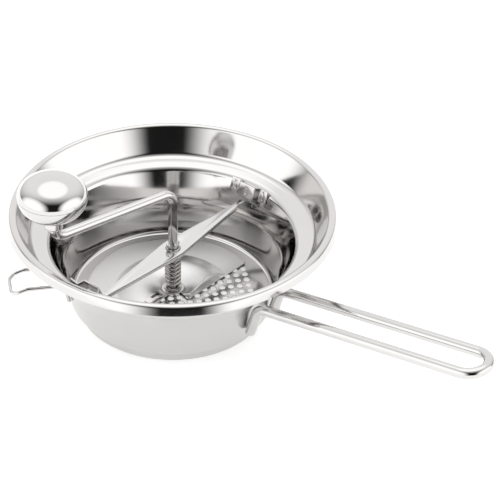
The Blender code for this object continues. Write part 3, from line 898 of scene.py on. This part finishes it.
def steel(name, shade, low_gloss, high_gloss):
    """A bare steel whose roughness drifts between two values, and its shader and links."""
    material = bpy.data.materials.new(name)
    material.use_nodes = True
    nodes, links = material.node_tree.nodes, material.node_tree.links
    shader = nodes["Principled BSDF"]
    shader.inputs["Metallic"].default_value = 1
    place = nodes.new("ShaderNodeTexCoord")
    centre = nodes.new("ShaderNodeMapping")
    centre.inputs["Location"].default_value = (-AXIS.x, 0, 0)
    links.new(place.outputs["Object"], centre.inputs["Vector"])

    smudge = nodes.new("ShaderNodeTexNoise")
    smudge.inputs["Scale"].default_value = 28
    smudge.inputs["Detail"].default_value = 6
    links.new(centre.outputs["Vector"], smudge.inputs["Vector"])
    gloss = nodes.new("ShaderNodeMapRange")
    gloss.inputs["To Min"].default_value = low_gloss
    gloss.inputs["To Max"].default_value = high_gloss
    links.new(smudge.outputs["Fac"], gloss.inputs["Value"])
    links.new(gloss.outputs["Result"], shader.inputs["Roughness"])

    tint = nodes.new("ShaderNodeMix")
    tint.data_type = "RGBA"
    tint.inputs["A"].default_value = (*shade, 1)
    tint.inputs["B"].default_value = (*(value * 0.93 for value in shade), 1)
    links.new(smudge.outputs["Fac"], tint.inputs["Factor"])
    links.new(tint.outputs["Result"], shader.inputs["Base Color"])
    return material, shader, nodes, links, centre


def polished(name, shade, low_gloss, high_gloss, ripple):
    """Mirror steel with the faint ripple of drawn sheet."""
    material, shader, nodes, links, centre = steel(name, shade, low_gloss, high_gloss)
    sheet = nodes.new("ShaderNodeTexNoise")
    sheet.inputs["Scale"].default_value = 40
    sheet.inputs["Detail"].default_value = 1
    links.new(centre.outputs["Vector"], sheet.inputs["Vector"])
    broad = nodes.new("ShaderNodeBump")
    broad.inputs["Strength"].default_value = ripple
    broad.inputs["Distance"].default_value = 0.0004
    links.new(sheet.outputs["Fac"], broad.inputs["Height"])
    links.new(broad.outputs["Normal"], shader.inputs["Normal"])
    return material


def satin(name, shade, low_gloss, high_gloss, grain):
    """Satin steel with a fine grain along one direction."""
    material, shader, nodes, links, centre = steel(name, shade, low_gloss, high_gloss)
    stretch = nodes.new("ShaderNodeMapping")
    stretch.inputs["Scale"].default_value = grain
    links.new(centre.outputs["Vector"], stretch.inputs["Vector"])
    hairs = nodes.new("ShaderNodeTexNoise")
    hairs.inputs["Scale"].default_value = 60
    hairs.inputs["Detail"].default_value = 4
    links.new(stretch.outputs["Vector"], hairs.inputs["Vector"])
    bump = nodes.new("ShaderNodeBump")
    bump.inputs["Strength"].default_value = 0.12
    bump.inputs["Distance"].default_value = 0.00005
    links.new(hairs.outputs["Fac"], bump.inputs["Height"])
    links.new(bump.outputs["Normal"], shader.inputs["Normal"])
    return material


# ---------------------------------------------------------------- studio


def around(azimuth, elevation, distance=1.0):
    """A place round the bowl, by its bearing, its elevation and its distance."""
    angle, rise = math.radians(azimuth), math.radians(elevation)
    flat = Vector((math.cos(angle), math.sin(angle), 0)) * math.cos(rise)
    return (flat + Vector((0, 0, math.sin(rise)))) * distance


def make_floor():
    """A plain pale floor, lit a little from within so that it stays pale under the bowl."""
    deselect()
    bpy.ops.mesh.primitive_plane_add(size=14, location=(0, 0, -0.0002))
    floor = bpy.context.object
    floor.name = "studio_floor"
    paint = bpy.data.materials.new("pale_floor")
    paint.use_nodes = True
    shader = paint.node_tree.nodes["Principled BSDF"]
    shader.inputs["Base Color"].default_value = (0.88, 0.88, 0.88, 1)
    shader.inputs["Roughness"].default_value = 0.9
    shader.inputs["Specular IOR Level"].default_value = 0.1
    shader.inputs["Emission Color"].default_value = (1, 1, 1, 1)
    shader.inputs["Emission Strength"].default_value = FLOOR_GLOW
    floor.data.materials.append(paint)


def make_room():
    """The room that the steel reflects: soft boxes with dark gaps between them."""
    world = bpy.data.worlds.new("studio_room")
    bpy.context.scene.world = world
    world.use_nodes = True
    nodes, links = world.node_tree.nodes, world.node_tree.links
    looking = nodes.new("ShaderNodeTexCoord")
    total = None
    for azimuth, elevation, inner, outer, strength in SOFT_BOXES:
        aim = nodes.new("ShaderNodeVectorMath")
        aim.operation = "DOT_PRODUCT"
        aim.inputs[1].default_value = around(CAMERA_AZIMUTH + azimuth, elevation)
        links.new(looking.outputs["Generated"], aim.inputs[0])
        edge = nodes.new("ShaderNodeMapRange")
        edge.interpolation_type = "SMOOTHSTEP"
        edge.inputs["From Min"].default_value = math.cos(math.radians(outer))
        edge.inputs["From Max"].default_value = math.cos(math.radians(inner))
        edge.inputs["To Max"].default_value = strength
        links.new(aim.outputs["Value"], edge.inputs["Value"])
        if total is None:
            total = edge.outputs["Result"]
        else:
            brighter = nodes.new("ShaderNodeMath")
            brighter.operation = "MAXIMUM"
            links.new(total, brighter.inputs[0])
            links.new(edge.outputs["Result"], brighter.inputs[1])
            total = brighter.outputs["Value"]
    fill = nodes.new("ShaderNodeMath")
    fill.operation = "MAXIMUM"
    fill.inputs[1].default_value = ROOM_DARK
    links.new(total, fill.inputs[0])
    path = nodes.new("ShaderNodeLightPath")
    seen = nodes.new("ShaderNodeMix")
    seen.data_type = "FLOAT"
    seen.inputs["B"].default_value = 1.0
    links.new(path.outputs["Is Camera Ray"], seen.inputs["Factor"])
    links.new(fill.outputs["Value"], seen.inputs["A"])
    links.new(seen.outputs["Result"], nodes["Background"].inputs["Strength"])
    nodes["Background"].inputs["Color"].default_value = (1, 1, 1, 1)


def make_studio():
    """The floor, and the room with its soft boxes."""
    make_floor()
    make_room()
    bpy.context.scene.view_settings.view_transform = "Standard"


# Soft boxes: bearing from the camera's, elevation, radius of the full light, radius where it
# ends, and strength
SOFT_BOXES = (
    (180, 75, 22, 42, 1.65),
    (180, 50, 34, 92, 1.2),
    (-62, 6, 26, 56, 1.7),
    (66, 6, 26, 50, 1.7),
)
ROOM_DARK = 0.015
FLOOR_GLOW = 0.5
CAMERA_AZIMUTH = -52
CAMERA_OUT = 1.0734
CAMERA_HEIGHT = 0.8202
CAMERA_HEADING = 34.98
CAMERA_TILT = 54.27
CAMERA_ROLL = 1.86
CAMERA_LENS = 129.6


def camera_place():
    """Where the camera stands, in the row frame."""
    angle = math.radians(CAMERA_AZIMUTH)
    out = Vector((math.cos(angle), math.sin(angle), 0)) * CAMERA_OUT
    return AXIS + out + Vector((0, 0, CAMERA_HEIGHT))


def make_camera():
    """The camera, looking down into the bowl."""
    data = bpy.data.cameras.new("camera")
    data.lens = CAMERA_LENS
    data.sensor_width = 36
    camera = bpy.data.objects.new("camera", data)
    bpy.context.scene.collection.objects.link(camera)
    heading = Matrix.Rotation(math.radians(CAMERA_HEADING), 4, "Z")
    tilt = Matrix.Rotation(math.radians(CAMERA_TILT), 4, "X")
    roll = Matrix.Rotation(math.radians(CAMERA_ROLL), 4, "Z")
    camera.matrix_world = Matrix.Translation(camera_place()) @ heading @ tilt @ roll
    bpy.context.scene.camera = camera


def build():
    """Makes every piece, the studio and the camera."""
    bowl_steel = polished("polished_bowl_steel", (0.63, 0.62, 0.61), 0.05, 0.10, 0.15)
    wall_steel = satin("satin_wall_steel", (0.62, 0.615, 0.605), 0.20, 0.28, (1, 1, 14))
    rod_steel = polished("polished_rod_steel", (0.62, 0.61, 0.60), 0.05, 0.10, 0.05)
    knob_steel = polished("polished_knob_steel", (0.63, 0.622, 0.614), 0.03, 0.07, 0.05)
    disc_steel = polished("polished_disc_steel", (0.58, 0.57, 0.56), 0.08, 0.16, 0.05)
    blade_steel = satin("satin_blade_steel", (0.66, 0.655, 0.65), 0.26, 0.36, (1, 12, 1))
    strap_steel = satin("satin_strap_steel", (0.60, 0.585, 0.57), 0.16, 0.28, (1, 1, 12))
    bar_steel = satin("bright_bar_steel", (0.65, 0.645, 0.64), 0.14, 0.22, (12, 1, 1))
    fitting_steel = satin("turned_fitting_steel", (0.56, 0.55, 0.54), 0.20, 0.30, (1, 1, 12))
    spring_steel = satin("drawn_spring_steel", (0.52, 0.50, 0.48), 0.18, 0.30, (1, 1, 12))
    make_bowl(bowl_steel, wall_steel)
    make_handle(rod_steel)
    make_hooks(rod_steel)
    make_catches(strap_steel)
    make_disc(disc_steel)
    make_crank_rod(rod_steel)
    make_spring(spring_steel)
    make_blade(blade_steel)
    make_saddle(strap_steel)
    make_rings(fitting_steel)
    make_bar(bar_steel)
    make_knob(knob_steel, knob_steel)
    make_studio()
    make_camera()


build()
